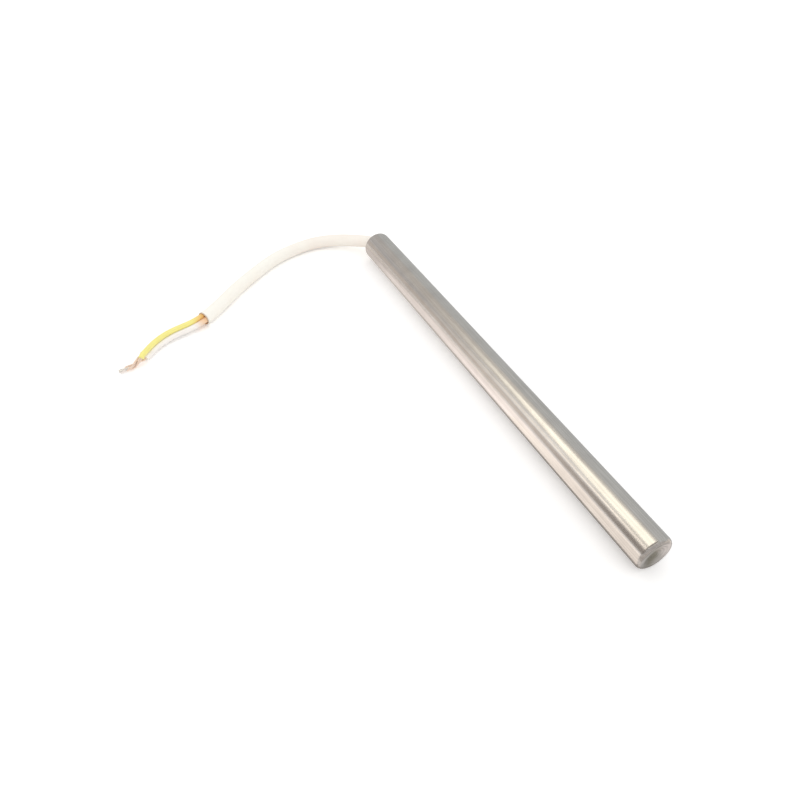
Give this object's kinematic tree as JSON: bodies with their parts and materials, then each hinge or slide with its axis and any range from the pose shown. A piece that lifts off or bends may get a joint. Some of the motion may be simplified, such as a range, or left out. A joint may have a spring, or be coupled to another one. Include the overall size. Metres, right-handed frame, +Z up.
{
  "type": "cartridge heater",
  "caption": "Round steel-sheathed cartridge heater, closed and dished at one end, with a sleeved three-wire lead at the other; slides into a bore to heat a die or mould.",
  "frame": {"origin": "on the surface that the heater lies on, under the middle of the sheath", "axes": "+X along the sheath towards its closed end, +Z up; the lead leaves the -X end and lies on the -Y side"},
  "size_m": [0.2696, 0.1663, 0.016],
  "materials": {
    "stainless": "ground",
    "stainless_weld": "welded, heat tinted",
    "mica": "matt",
    "magnesia": "pressed, matt",
    "resistance_wire": "drawn, oxidised",
    "nickel": "drawn",
    "bushing_ceramic": "fired, matt",
    "seal_silicone": "poured, satin",
    "sleeve_silicone": "satin",
    "earth_insulation": "satin",
    "white_insulation": "satin",
    "copper": "stranded, bright",
    "tin_solder": "dipped"
  },
  "bodies": {
    "root": {"sheath": "stainless", "end_disc": "stainless_weld", "base_wafer": "mica", "core_1": "magnesia", "core_2": "magnesia", "core_3": "magnesia", "core_4": "magnesia", "core_5": "magnesia", "heating_winding": "resistance_wire", "insulation_fill": "magnesia", "live_pin": "nickel", "neutral_pin": "nickel", "lead_bushing": "bushing_ceramic", "live_crimp": "nickel", "neutral_crimp": "nickel", "earth_terminal": "nickel", "end_seal": "seal_silicone", "sleeve": "sleeve_silicone", "earth_wire": "earth_insulation", "live_wire": "white_insulation", "neutral_wire": "white_insulation", "earth_strands": "copper", "live_strands": "copper", "neutral_strands": "copper", "solder_tip": "tin_solder"}
  },
  "joints": []
}
